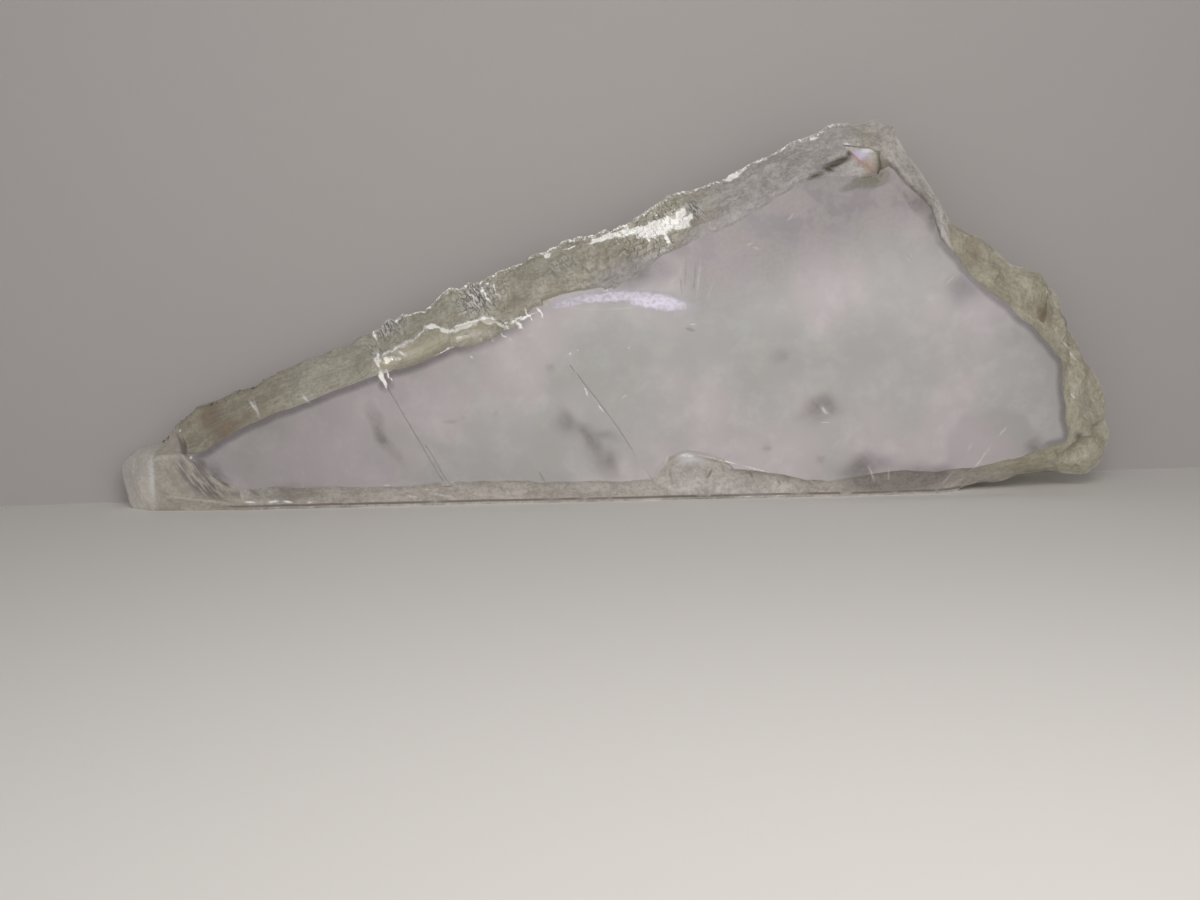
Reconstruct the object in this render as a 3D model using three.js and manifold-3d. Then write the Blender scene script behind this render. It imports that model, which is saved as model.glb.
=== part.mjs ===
// A selenite slab: one clear cleavage plate of gypsum crystal that stands on its long broken edge.
// Millimetres, +Z up.  +X runs along the slab and the front face looks along -Y.  The origin is
// on the ground, under the middle of the slab's box.
import * as THREE from "three";
import { mergeVertices } from "three/addons/utils/BufferGeometryUtils.js";
import Module from "manifold-3d";

// Driving dimensions.
const THICKNESS = 14;
const FRONT = -THICKNESS / 2;
const BACK = THICKNESS / 2;
const FIBRE_SLOPE = THREE.MathUtils.degToRad(57);
const COARSE_STEP = 2.5; // between the points of a smooth edge
const FINE_STEP = 1.0; // and of a ribbed one
const FINE_RIB = 0.5; // the rib height from which the fine step is used

// The broken edge, clockwise from the tip as seen from the front.  Each row is one point of the
// edge: the widest outline (x, z) and the border of the flat front face (x, z).
// depth is where the widest outline lies between the faces, back is how far the back face is set
// in from it, bulge is above 1 where the front bevel is rounded, lump and rib are the heights of
// its lumps and of its fibrous ribs.
const EDGE = [
  {
    depth: 0.5, back: 3, bulge: 2.6, lump: 0.35, rib: 0.1, // tip
    rows: [
      [-90.5, -2.0, -75.5, 7.6],
      [-92.8, 1.0, -76.5, 9.0],
      [-93.8, 4.0, -77.3, 9.6],
      [-94.0, 7.2, -78.2, 10.1],
      [-93.4, 9.4, -78.4, 10.4],
      [-91.3, 11.1, -78.1, 10.7],
      [-87.2, 12.1, -77.8, 10.9],
    ],
  },
  {
    depth: 1.5, back: 2.5, bulge: 1, lump: 0.4, rib: 0.2, // smooth start of the upper edge
    rows: [
      [-85.2, 14.0, -77.4, 11.0],
      [-83.6, 15.3, -76.6, 11.3],
      [-81.6, 17.2, -75.8, 11.6],
      [-79.4, 19.3, -75.0, 11.9],
      [-76.9, 20.0, -73.0, 13.1],
      [-69.9, 22.2, -67.4, 16.0],
      [-62.9, 25.5, -61.0, 18.6],
      [-58.5, 27.4, -56.5, 20.3],
      [-54.1, 29.1, -52.0, 22.0],
      [-49.7, 30.3, -48.0, 23.2],
    ],
  },
  {
    depth: 1.5, back: 2.5, bulge: 1.15, lump: 0.4, rib: 0.6, // hackly middle of the upper edge
    rows: [
      [-47.6, 31.6, -44.7, 24.3],
      [-42.0, 34.4, -40.0, 25.6],
      [-37.6, 35.9, -35.5, 27.2],
      [-33.6, 37.4, -31.0, 28.8],
      [-30.5, 40.2, -27.8, 30.2],
      [-26.8, 41.1, -24.0, 31.4],
      [-19.6, 43.7, -18.0, 33.0],
      [-15.2, 45.9, -14.5, 36.4],
      [-9.2, 48.2, -9.0, 37.4],
      [-1.0, 50.3, -1.5, 38.3],
      [5.4, 53.0, 4.0, 42.0],
      [9.7, 55.8, 9.0, 45.0],
      [14.0, 57.3, 14.5, 47.5],
    ],
  },
  {
    depth: 1, back: 2.5, bulge: 1.35, lump: 0.5, rib: 0.35, // cloudy end of the upper edge
    rows: [
      [21.1, 59.2, 21.5, 50.5],
      [25.2, 61.6, 27.0, 53.0],
      [33.3, 65.0, 33.0, 57.0],
      [38.3, 66.9, 38.5, 58.1],
      [40.0, 67.9, 41.0, 58.3],
      [45.1, 69.0, 44.5, 58.5],
      [49.0, 69.0, 47.5, 58.9],
    ],
  },
  {
    depth: -3, back: 1.5, bulge: 1, lump: 0.35, rib: 0.1, // narrow rim below the apex
    rows: [
      [51.5, 67.6, 49.0, 59.6],
      [52.3, 65.6, 49.8, 60.2],
      [53.8, 63.4, 51.0, 59.4],
      [55.9, 60.2, 52.8, 57.1],
      [58.3, 56.9, 55.4, 54.9],
      [60.0, 54.5, 57.2, 52.6],
      [61.0, 52.4, 58.3, 50.2],
      [61.8, 50.3, 59.2, 46.8],
    ],
  },
  {
    depth: 1.5, back: 2.5, bulge: 1.1, lump: 0.8, rib: 0.4, // earthy right side, along the fibres
    rows: [
      [65.1, 49.9, 60.6, 45.2],
      [68.1, 48.1, 62.4, 43.3],
      [70.9, 46.7, 64.4, 40.8],
      [73.2, 44.3, 66.2, 38.8],
      [75.8, 42.1, 68.6, 36.8],
      [80.2, 40.8, 71.6, 34.9],
      [81.4, 39.8, 73.4, 33.1],
      [82.7, 37.3, 75.2, 31.6],
      [83.7, 34.9, 76.9, 30.1],
      [85.4, 32.3, 78.6, 28.3],
      [86.2, 29.0, 80.2, 26.6],
      [87.8, 26.8, 81.6, 25.0],
      [89.4, 24.1, 81.7, 22.5],
      [91.5, 21.8, 81.7, 20.2],
      [92.7, 18.9, 82.2, 17.4],
      [93.8, 15.0, 82.5, 14.0],
      [94.0, 9.0, 83.1, 11.0],
    ],
  },
  {
    depth: 0, back: 2, bulge: 1.2, lump: 0.5, rib: 0.1, // toe, clear of the ground
    rows: [
      [93.1, 6.2, 83.0, 10.2],
      [91.1, 4.3, 82.7, 9.6],
      [89.2, 2.4, 81.6, 9.3],
      [85.6, 2.1, 80.0, 9.0],
      [81.7, 3.1, 77.5, 8.0],
      [77.9, 2.8, 74.5, 7.0],
      [72.4, 1.7, 70.5, 6.1],
      [67.4, 0.8, 65.5, 5.3],
    ],
  },
  {
    depth: -3.2, back: 2.8, bulge: 1, lump: 0.25, rib: 0.1, // base, cut flat below
    rows: [
      [60.3, -1.2, 59.0, 4.8],
      [52.0, -2.0, 51.5, 5.0],
      [41.0, -2.0, 41.0, 3.6],
      [25.0, -2.0, 25.0, 4.0],
      [8.0, -2.0, 8.0, 4.3],
      [-10.0, -2.0, -10.0, 4.2],
      [-25.0, -2.0, -25.0, 4.9],
      [-40.0, -2.0, -40.0, 4.2],
      [-58.0, -2.0, -58.0, 4.4],
      [-70.0, -2.0, -69.5, 4.4],
      [-80.0, -2.0, -72.5, 5.6],
    ],
  },
];

// Rings of the edge from front to back.  across is the share of the bevel's width that a ring
// has covered, and rough is how much of the lumps and ribs it takes.
const FRONT_RINGS = [
  { across: 0, rough: 0 },
  { across: 0.22, rough: 0.6 },
  { across: 0.48, rough: 1 },
  { across: 0.74, rough: 1 },
  { across: 1, rough: 1 },
];
const BACK_RINGS = [
  { across: 0.4, rough: 0.9 },
  { across: 0.75, rough: 0.6 },
  { across: 1, rough: 0 },
];
const FRONT_BORDER_WAVER = 0.3;
const BACK_BORDER_WAVER = 0.6;

// Fine straight cracks in the front face that follow the fibres, each from (x, z) to (x, z).
const CRACK_WIDTH = 0.3;
const CRACK_DEPTH = 0.45;
const CRACKS = [
  { from: [-41.8, 23.0], to: [-36.0, 12.2] },
  { from: [-36.0, 12.2], to: [-30.0, 1.2] },
  { from: [-35.0, 11.8], to: [-29.3, 1.2] },
  { from: [-8.1, 25.8], to: [-0.4, 15.4] },
  { from: [-0.4, 15.4], to: [8.1, 1.6] },
];

// Shell-shaped chips.  at is the middle of the ball that is cut away, size its half axes and
// turn its lean in the plane of the slab.
const CHIPS = [
  { at: [14.5, -8.2, 3.0], size: [9.0, 3.2, 7.2], turn: -8 }, // base, wide
  { at: [26.0, -7.4, 1.4], size: [16.0, 2.8, 4.2], turn: -8 }, // base, its tail
  { at: [-36.0, -6.2, 29.6], size: [8.5, 3.0, 2.9], turn: 22 }, // below the upper ribs
  { at: [-25.5, -6.2, 32.0], size: [6.0, 2.8, 2.3], turn: 12 },
  { at: [1.2, -7.5, 37.4], size: [11.5, 2.2, 1.7], turn: 2 }, // long thin scallop
  { at: [87.0, -6.0, 7.4], size: [5.5, 4.0, 2.8], turn: 24 }, // toe
  { at: [-79.5, -5.4, 16.0], size: [3.4, 2.8, 4.2], turn: 35 }, // upper edge by the tip
  { at: [87.5, 8.0, 22.0], size: [6.0, 3.0, 9.0], turn: -15 }, // back of the right side
  { at: [-30.0, 8.3, 38.0], size: [12.0, 2.8, 4.2], turn: 22 }, // back of the upper edge
  { at: [-60.0, 8.2, 2.0], size: [10.0, 2.6, 3.2], turn: 0 }, // back of the base
];

// Flat broken facets.  Each takes away what lies past the plane through at that looks along
// facing, and outline (x, z) says how far it spreads, where it doesn't cut a whole corner off.
const FACETS = [
  { at: [-88.6, -4.2, 8.0], facing: [-0.62, -0.78, 0.05] }, // end of the tip
  {
    at: [88.6, -2.2, 20.0],
    facing: [0.25, -0.9, 0.35], // ledge of the right side
    outline: [[84.5, 27.5], [88.8, 25.0], [94.0, 18.5], [91.5, 11.0], [85.5, 13.5], [83.6, 20.0]],
  },
  {
    at: [76.8, -2.6, 37.0],
    facing: [0.5, -0.8, 0.1], // ledge of the bulge above it
    outline: [[70.0, 44.5], [76.5, 41.0], [81.5, 37.5], [79.0, 31.5], [74.0, 34.5]],
  },
  {
    at: [45.4, -3.6, 61.6],
    facing: [-0.4, -0.88, 0.25], // small shining facet below the apex
    outline: [[42.3, 64.5], [47.1, 63.7], [48.5, 62.6], [48.6, 60.2], [47.9, 58.6], [45.2, 61.1]],
  },
];

// The back face steps down along a cleavage line that follows the fibres.  It passes through
// at (x, z), and everything from there to the tip is lower.
const TERRACE = { at: [-44.0, 14.0], deep: 0.5, reach: 70 };
const TERRACE_RAMP = THREE.MathUtils.degToRad(12);

// Repeatable smooth noise from -1 to 1 on a grid of unit cells.
function cellValue(i, j) {
  const wave = Math.sin(i * 127.1 + j * 311.7) * 43758.5453;
  return 2 * (wave - Math.floor(wave)) - 1;
}

function noise(u, v) {
  const i = Math.floor(u);
  const j = Math.floor(v);
  const s = THREE.MathUtils.smoothstep(u - i, 0, 1);
  const t = THREE.MathUtils.smoothstep(v - j, 0, 1);
  const near = THREE.MathUtils.lerp(cellValue(i, j), cellValue(i + 1, j), s);
  const far = THREE.MathUtils.lerp(cellValue(i, j + 1), cellValue(i + 1, j + 1), s);
  return THREE.MathUtils.lerp(near, far, t);
}

// Saw-toothed ribs along the fibres: they depend only on the distance across the fibres.
function ribs(x, z) {
  const across = x * Math.sin(FIBRE_SLOPE) + z * Math.cos(FIBRE_SLOPE);
  let height = 0;
  for (const [period, share] of [[7.3, 0.45], [3.4, 0.35], [1.9, 0.2]]) {
    const turns = across / period + 0.35 * noise(across / period, period);
    height += share * (2 * (turns - Math.floor(turns)) - 1);
  }
  return height * (1 + 0.7 * noise(across / 9, 3));
}

// The rows of the edge, filled in with straight steps that are finer where the ribs are high.
function edgeStations() {
  const corners = EDGE.flatMap(({ rows, ...finish }) => rows.map((row) => ({ ...finish, row })));
  const stations = [];
  corners.forEach((corner, index) => {
    const next = corners[(index + 1) % corners.length];
    const length = Math.hypot(next.row[0] - corner.row[0], next.row[1] - corner.row[1]);
    const step = THREE.MathUtils.lerp(COARSE_STEP, FINE_STEP, Math.min(corner.rib / FINE_RIB, 1));
    const count = Math.max(1, Math.round(length / step));
    for (let k = 0; k < count; k += 1) {
      const mix = (a, b) => THREE.MathUtils.lerp(a, b, k / count);
      const [rimX, rimZ, frontX, frontZ] = corner.row.map((value, n) => mix(value, next.row[n]));
      stations.push({
        rim: new THREE.Vector3(rimX, mix(corner.depth, next.depth), rimZ),
        front: new THREE.Vector3(frontX, FRONT, frontZ),
        back: mix(corner.back, next.back),
        bulge: mix(corner.bulge, next.bulge),
        lump: mix(corner.lump, next.lump),
        rib: mix(corner.rib, next.rib),
      });
    }
  });
  return stations;
}

// The points of one station, from the border of the front face to that of the back face.
function stationPoints({ rim, front, back, bulge, lump, rib }) {
  const inward = new THREE.Vector3(front.x - rim.x, 0, front.z - rim.z);
  const width = inward.length();
  inward.normalize();
  const fall = rim.y - FRONT;
  const bevelNormal = inward.clone().multiplyScalar(-fall).setY(-width).normalize();
  const rough = (x, y, z) => lump * noise(x / 4.1 + z / 6.3, z / 3.7 + y / 3.1)
    + 0.5 * lump * noise(x / 1.9 + 40, z / 1.7 + y / 1.5)
    + rib * ribs(x, z);
  const points = FRONT_RINGS.map((ring) => {
    const point = front.clone().lerp(rim, ring.across);
    point.y = FRONT + fall * ring.across ** bulge;
    const push = ring.across === 1 ? inward.clone().negate() : bevelNormal;
    const height = ring.rough * rough(point.x, point.y, point.z);
    if (ring.across === 0) {
      point.addScaledVector(inward, FRONT_BORDER_WAVER * noise(point.x / 2.3, point.z / 2.3));
    }
    return point.addScaledVector(push, height);
  });
  for (const ring of BACK_RINGS) {
    const point = rim.clone().addScaledVector(inward, back * ring.across ** 2);
    point.y = THREE.MathUtils.lerp(rim.y, BACK, ring.across);
    const height = ring.rough * rough(point.x, point.y, point.z);
    if (ring.across === 1) {
      point.addScaledVector(inward, BACK_BORDER_WAVER * (1 + noise(point.x / 3, point.z / 3)));
    }
    points.push(point.addScaledVector(inward, -height));
  }
  return points;
}

// The unchipped slab: the rings joined by strips, and the two faces filled in.
function slabBlank() {
  const rows = edgeStations().map(stationPoints);
  const count = rows.length;
  const rings = rows[0].length;
  const positions = rows.flat().flatMap((point) => point.toArray());
  const at = (station, ring) => (station % count) * rings + ring;
  const triangles = [];
  for (let station = 0; station < count; station += 1) {
    for (let ring = 0; ring < rings - 1; ring += 1) {
      const a = at(station, ring);
      const b = at(station + 1, ring);
      const c = at(station + 1, ring + 1);
      const d = at(station, ring + 1);
      triangles.push(a, b, d, b, c, d);
    }
  }
  for (const ring of [0, rings - 1]) {
    const outline = rows.map((points) => new THREE.Vector2(points[ring].x, points[ring].z));
    for (const [a, b, c] of THREE.ShapeUtils.triangulateShape(outline, [])) {
      const corners = [at(a, ring), at(b, ring), at(c, ring)];
      triangles.push(...(ring === 0 ? corners : corners.reverse()));
    }
  }
  const geometry = new THREE.BufferGeometry();
  geometry.setAttribute("position", new THREE.Float32BufferAttribute(positions, 3));
  geometry.setIndex(triangles);
  return geometry;
}

const wasm = await Module();
wasm.setup();

function toSolid(geometry) {
  geometry.deleteAttribute("normal");
  geometry.deleteAttribute("uv");
  const merged = mergeVertices(geometry);
  return new wasm.Manifold(new wasm.Mesh({
    numProp: 3,
    vertProperties: new Float32Array(merged.attributes.position.array),
    triVerts: new Uint32Array(merged.index.array),
  }));
}

function toGeometry(solid) {
  const mesh = solid.getMesh();
  const geometry = new THREE.BufferGeometry();
  geometry.setAttribute("position", new THREE.BufferAttribute(mesh.vertProperties, 3));
  geometry.setIndex(new THREE.BufferAttribute(mesh.triVerts, 1));
  geometry.computeVertexNormals();
  return geometry;
}

// Everything below the ground is cut away, which leaves the flat base.
function groundCutter() {
  const deep = 20;
  const box = new THREE.BoxGeometry(300, 60, deep);
  box.translate(0, 0, -deep / 2);
  return toSolid(box);
}

// A thin wedge whose edge points into the front face.
function crackCutter({ from, to }) {
  const [dx, dz] = [to[0] - from[0], to[1] - from[1]];
  const length = Math.hypot(dx, dz);
  const outside = 0.2;
  const half = (CRACK_WIDTH / 2) * (1 + outside / CRACK_DEPTH);
  const profile = new THREE.Shape([
    new THREE.Vector2(-half, outside),
    new THREE.Vector2(0, -CRACK_DEPTH),
    new THREE.Vector2(half, outside),
  ]);
  const wedge = new THREE.ExtrudeGeometry(profile, { depth: length, bevelEnabled: false, steps: 1 });
  const along = new THREE.Vector3(dx, 0, dz).normalize();
  const outward = new THREE.Vector3(0, -1, 0);
  const sideways = new THREE.Vector3().crossVectors(outward, along);
  wedge.applyMatrix4(new THREE.Matrix4().makeBasis(sideways, outward, along));
  wedge.translate(from[0], FRONT, from[1]);
  return toSolid(wedge);
}

function chipCutter({ at, size, turn }) {
  const ball = new THREE.IcosahedronGeometry(1, 3);
  ball.scale(...size);
  ball.rotateY(THREE.MathUtils.degToRad(-turn));
  ball.translate(...at);
  return toSolid(ball);
}

function facetCutter({ at, facing, outline }) {
  const span = 60;
  const beyond = new THREE.BoxGeometry(span, span, span);
  beyond.translate(0, 0, span / 2);
  const outward = new THREE.Vector3(...facing).normalize();
  const turn = new THREE.Quaternion().setFromUnitVectors(new THREE.Vector3(0, 0, 1), outward);
  beyond.applyQuaternion(turn);
  beyond.translate(...at);
  if (!outline) {
    return toSolid(beyond);
  }
  const shape = new THREE.Shape(outline.map(([x, z]) => new THREE.Vector2(x, z)));
  const prism = new THREE.ExtrudeGeometry(shape, { depth: THICKNESS, bevelEnabled: false });
  prism.rotateX(Math.PI / 2);
  return toSolid(beyond).intersect(toSolid(prism));
}

// A thin sheet off the back, with a ramp along the fibres.
function terraceCutter({ at, deep, reach }) {
  const tall = 160;
  const ramp = deep / Math.tan(TERRACE_RAMP);
  const profile = new THREE.Shape([
    new THREE.Vector2(0, deep),
    new THREE.Vector2(ramp, 0),
    new THREE.Vector2(reach, 0),
    new THREE.Vector2(reach, 2 * deep),
    new THREE.Vector2(-ramp, 2 * deep),
  ]);
  const sheet = new THREE.ExtrudeGeometry(profile, { depth: tall, bevelEnabled: false, steps: 1 });
  sheet.translate(0, 0, -tall / 2);
  const along = new THREE.Vector3(Math.cos(FIBRE_SLOPE), 0, -Math.sin(FIBRE_SLOPE));
  const outward = new THREE.Vector3(0, 1, 0);
  const towardsTip = new THREE.Vector3().crossVectors(outward, along);
  sheet.applyMatrix4(new THREE.Matrix4().makeBasis(towardsTip, outward, along));
  sheet.translate(at[0], BACK - deep, at[1]);
  return toSolid(sheet);
}

function slabGeometry() {
  const cutters = [
    groundCutter(),
    ...CRACKS.map(crackCutter),
    ...CHIPS.map(chipCutter),
    ...FACETS.map(facetCutter),
    terraceCutter(TERRACE),
  ];
  const solid = cutters.reduce((slab, cutter) => slab.subtract(cutter), toSolid(slabBlank()));
  const geometry = toGeometry(solid);
  geometry.computeBoundingBox();
  const { min, max } = geometry.boundingBox;
  return geometry.translate(-(min.x + max.x) / 2, -(min.y + max.y) / 2, -min.z);
}

const selenite = new THREE.MeshStandardMaterial({
  name: "selenite",
  color: 0xc9c3ba,
  roughness: 0.25,
  metalness: 0,
  transparent: true,
  opacity: 0.45,
});
const slab = new THREE.Mesh(slabGeometry(), selenite);
slab.name = "selenite_slab";

const part = new THREE.Group();
part.add(slab);
export default part;
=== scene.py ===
import math

import bmesh
import bpy
import numpy
from mathutils import Matrix, Vector, geometry, kdtree, noise


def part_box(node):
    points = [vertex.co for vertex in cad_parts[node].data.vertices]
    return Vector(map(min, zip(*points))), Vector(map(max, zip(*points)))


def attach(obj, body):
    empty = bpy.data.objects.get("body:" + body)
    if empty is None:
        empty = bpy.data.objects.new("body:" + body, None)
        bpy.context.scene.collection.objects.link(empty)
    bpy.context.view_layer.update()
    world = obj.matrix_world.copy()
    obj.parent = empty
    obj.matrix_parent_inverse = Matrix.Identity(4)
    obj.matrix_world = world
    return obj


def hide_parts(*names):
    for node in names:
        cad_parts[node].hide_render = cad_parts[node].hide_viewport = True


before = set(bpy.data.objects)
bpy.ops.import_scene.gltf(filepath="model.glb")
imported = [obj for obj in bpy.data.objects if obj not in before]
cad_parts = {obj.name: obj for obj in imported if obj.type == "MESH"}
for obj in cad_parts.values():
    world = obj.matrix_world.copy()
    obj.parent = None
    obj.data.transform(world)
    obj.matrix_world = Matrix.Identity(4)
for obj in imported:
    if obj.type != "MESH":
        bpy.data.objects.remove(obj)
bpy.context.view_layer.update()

# ---------------------------------------------------------------------------------------------
# The view.  The slab is seen from the front, from about half its height and a little to the
# left of its middle, with the camera held slightly askew.
# ---------------------------------------------------------------------------------------------
MM = 0.001
VIEW_DISTANCE = 237 * MM
VIEW_HEIGHT = 41.3 * MM
VIEW_SIDE = -3.1 * MM
VIEW_PITCH = math.radians(7.5)
VIEW_ROLL = math.radians(1.3)
IMAGE_WIDTH = 1200  # pixels
FOCAL_PIXELS = 1300
SENSOR_WIDTH = 36  # Blender's usual one, in mm
NEAREST_SEEN = 5 * MM

slab_low, slab_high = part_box("selenite_slab")
camera_data = bpy.data.cameras.new("camera")
camera_data.sensor_fit = "HORIZONTAL"
camera_data.sensor_width = SENSOR_WIDTH
camera_data.lens = SENSOR_WIDTH * FOCAL_PIXELS / IMAGE_WIDTH
camera_data.clip_start = NEAREST_SEEN
camera = bpy.data.objects.new("camera", camera_data)
bpy.context.scene.collection.objects.link(camera)
camera.matrix_world = (
    Matrix.Translation((VIEW_SIDE, slab_low.y - VIEW_DISTANCE, VIEW_HEIGHT))
    @ Matrix.Rotation(math.pi / 2 - VIEW_PITCH, 4, "X")
    @ Matrix.Rotation(-VIEW_ROLL, 4, "Z")
)
bpy.context.scene.camera = camera

# ---------------------------------------------------------------------------------------------
# The selenite slab.  One clear plate of gypsum crystal, split along its cleavage into two
# glassy flat faces.  Its edge is broken: fibrous above, earthy on the right, all of it frosted.
# ---------------------------------------------------------------------------------------------
FACE_DEPTH = round(-slab_low.y / MM, 3)  # from the middle to either cleavage face, in mm
BACK_DEPTH = 3.5  # behind this the slab is plain: coarse facets and no marks, in mm
FLAT_NORMAL = 0.9999  # how squarely a facet looks along Y to be part of a cleavage face
FLAT_DEPTH = 6.3 * MM  # and how far from the middle it lies at least
FINE_EDGE = 0.66 * MM  # longest facet side of the broken edge where it faces front or up
CRISP_EDGE = 0.32 * MM  # where it is splintery
COARSE_EDGE = 1.4 * MM  # and on its back and below
EDGE_SPARE = 1.35  # a side is cut in two when it is more than this many times too long
CUT_ROUNDS = 8  # at the most
WELD = 0.0002 * MM  # corners closer than this are one
CELL = 0.5  # places with finer facets are kept as cells of a grid with this step, in mm
FACE_STEP = 0.8  # spacing of the corners on the front cleavage face, which carries shading, in mm
RIM_STEP = 0.5  # along its rim
RIM_CELLS = 5  # how many cells to either side of the rim
SCRATCH_STEP = 0.27  # and along its scratches
CLEARANCE = 0.45  # a new corner keeps at least this share of its spacing from the rim
ROW_RISE = 0.866  # height of an even triangle with a side of 1
TOOTHED = (-46, 9)  # the left upper edge has teeth left of this x and above this z, in mm
TOOTHED_CELLS = 2  # how many cells to either side of its outline are cut crisp
SLIVER = 1e-10  # a facet smaller than this, in square metres, has no sure direction
SLANT = 0.05  # a facet that leans this far forward or back counts as facing that way
CALM_WIDTH = 0.7 * MM  # the carving fades out this close to a cleavage face
FIBRE_SLOPE = math.radians(57)
FIBRE_TOOTH = 0.50 * MM  # depth of the splintered edge's teeth
NIBBLE = 0.95 * MM  # depth of the left edge's teeth
EARTH_LUMP = 0.16 * MM
GRAIN = 0.10 * MM
SPLINTER_FACE = Vector((0.03, -0.986, 0.166))  # the crystal plane that the splinters break along
SPLINTER_STEP = 0.8 * MM
SPLINTER_TURN = 0.12  # how far single splinters lean from it, as a slope
BLAZE = ((6.5, 51.3), 8.5)  # where they all lie in step: middle (x, z) and reach, in mm
CLUSTERS = (  # where the broken edge is splintery: strength, middle (x, z) and reach in mm
    (0.40, (-43.0, 32.5), 5.5),
    (0.65, (-24.5, 39.0), 7.0),
    (0.30, (-8.0, 45.0), 9.0),
    (0.80, (6.5, 51.3), 9.5),
    (0.25, (27.0, 60.0), 12.0),
)
CRISP_STRENGTH = 0.35  # a cluster stronger than this gets the crispest facets
FACET = ((45.6, 61.4), (3.6, 3.2))  # the small shining facet below the apex: middle and reach
WORN = (  # worn scars, by their middle and reach, and how many times they are rubbed down
    (((45.6, 61.4), (5.0, 4.4)), 8),
    (((86.5, 7.0), (6.0, 5.0)), 12),
    (((15.5, 6.0), (12.0, 7.0)), 6),
)
RUB = 0.6  # how far one rub takes a corner towards its neighbours' depth
CRACKS = (  # the fine cracks across the front cleavage face, as (x, z) in mm
    ((-41.9, 23.0), (-36.1, 12.2), (-30.1, 1.2)),
    ((-35.1, 11.8), (-29.4, 1.2)),
    ((-8.2, 25.8), (-0.5, 15.4), (8.0, 1.6)),
)
CRACK_REACH = 0.5
CRACK_FOOT = 4  # below this height, in mm, a crack runs into the broken base
CRACK_FLOOR = -5.5  # no crack reaches deeper than this y, in mm
CRACK_KEPT, CRACK_FOOT_KEPT = 0.5, 0.15
SCALLOP = ((1.2, 37.4), (13.0, 2.2))  # the long shallow flake scar: middle and reach
SCALLOP_KEPT = 0.03  # the share of its depth that a scar keeps when it is pressed flat
CHIP = ((15.0, 6.0), (12.0, 8.0))  # the chip out of the base, which ends at a straight crest
CHIP_KEPT = 0.04
SCAR_MARGIN = 1.1  # pressing a scar flat starts this many times its reach away
CLEAR_FACE, BROKEN_EDGE, BACK_FACE = range(3)  # the slab's materials, in the order of its slots


def ramp(value, low, high):
    """0 at low, 1 at high and straight between them: low may be the greater of the two."""
    return min(max((value - low) / (high - low), 0), 1)


def off_line(place, start, end):
    """How far a place is from the straight piece between two others."""
    run = Vector(end) - Vector(start)
    share = min(max((Vector(place) - Vector(start)).dot(run) / run.length_squared, 0), 1)
    return (Vector(place) - Vector(start) - share * run).length


def in_oval(x, z, oval, margin=1.0):
    """True for a place within an oval on the slab, or within so many times its reach."""
    (across, up), (reach_x, reach_z) = oval
    return math.hypot((x - across) / reach_x, (z - up) / reach_z) < margin


def chipped(x, z):
    """1 in the wedge-shaped chip out of the base, below its straight crest, and 0 above it."""
    return min(ramp(z + 0.28 * x, 13.3, 12.9), ramp(x - 0.62 * z, 4.3, 4.9))


def is_scar(x, y, z):
    """True inside the front face's smooth scars: the scallop, small facet, chip and cracks."""
    if y < 0 and (in_oval(x, z, SCALLOP) or in_oval(x, z, FACET)):
        return True
    if y < -6 and z > 4.8 and in_oval(x, z, CHIP) and chipped(x, z) < 0.1:
        return True
    if y > CRACK_FLOOR:
        return False
    legs = [leg for crack in CRACKS for leg in zip(crack, crack[1:])]
    return z > CRACK_FOOT and min(off_line((x, z), *leg) for leg in legs) < CRACK_REACH


def is_flat(face):
    """True for a facet of the front or back cleavage plane."""
    return abs(face.normal.y) > FLAT_NORMAL and abs(face.calc_center_median().y) > FLAT_DEPTH


def cell_at(x, z):
    """The grid cell that a place on the slab lies in."""
    return round(x / CELL), round(z / CELL)


def cells_along(start, end, spread):
    """The grid cells that lie within a few cells of a line across the slab."""
    run = Vector(end) - Vector(start)
    steps = math.ceil(run.length / (CELL / 2)) + 1
    around = range(-spread, spread + 1)
    for step in range(steps + 1):
        column, row = cell_at(*(Vector(start) + run * (step / steps)))
        yield from ((column + i, row + j) for i in around for j in around)


def cluster_cells():
    """The grid cells in the more splintery places."""
    cells = set()
    for strength, (x, z), reach in CLUSTERS:
        column, row = cell_at(x, z)
        steps = round(1.5 * reach)
        for i in range(-steps, steps + 1):
            for j in range(-steps, steps + 1):
                if strength > CRISP_STRENGTH and math.hypot(i, j) < steps:
                    cells.add((column + i, row + j))
    return cells


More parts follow.
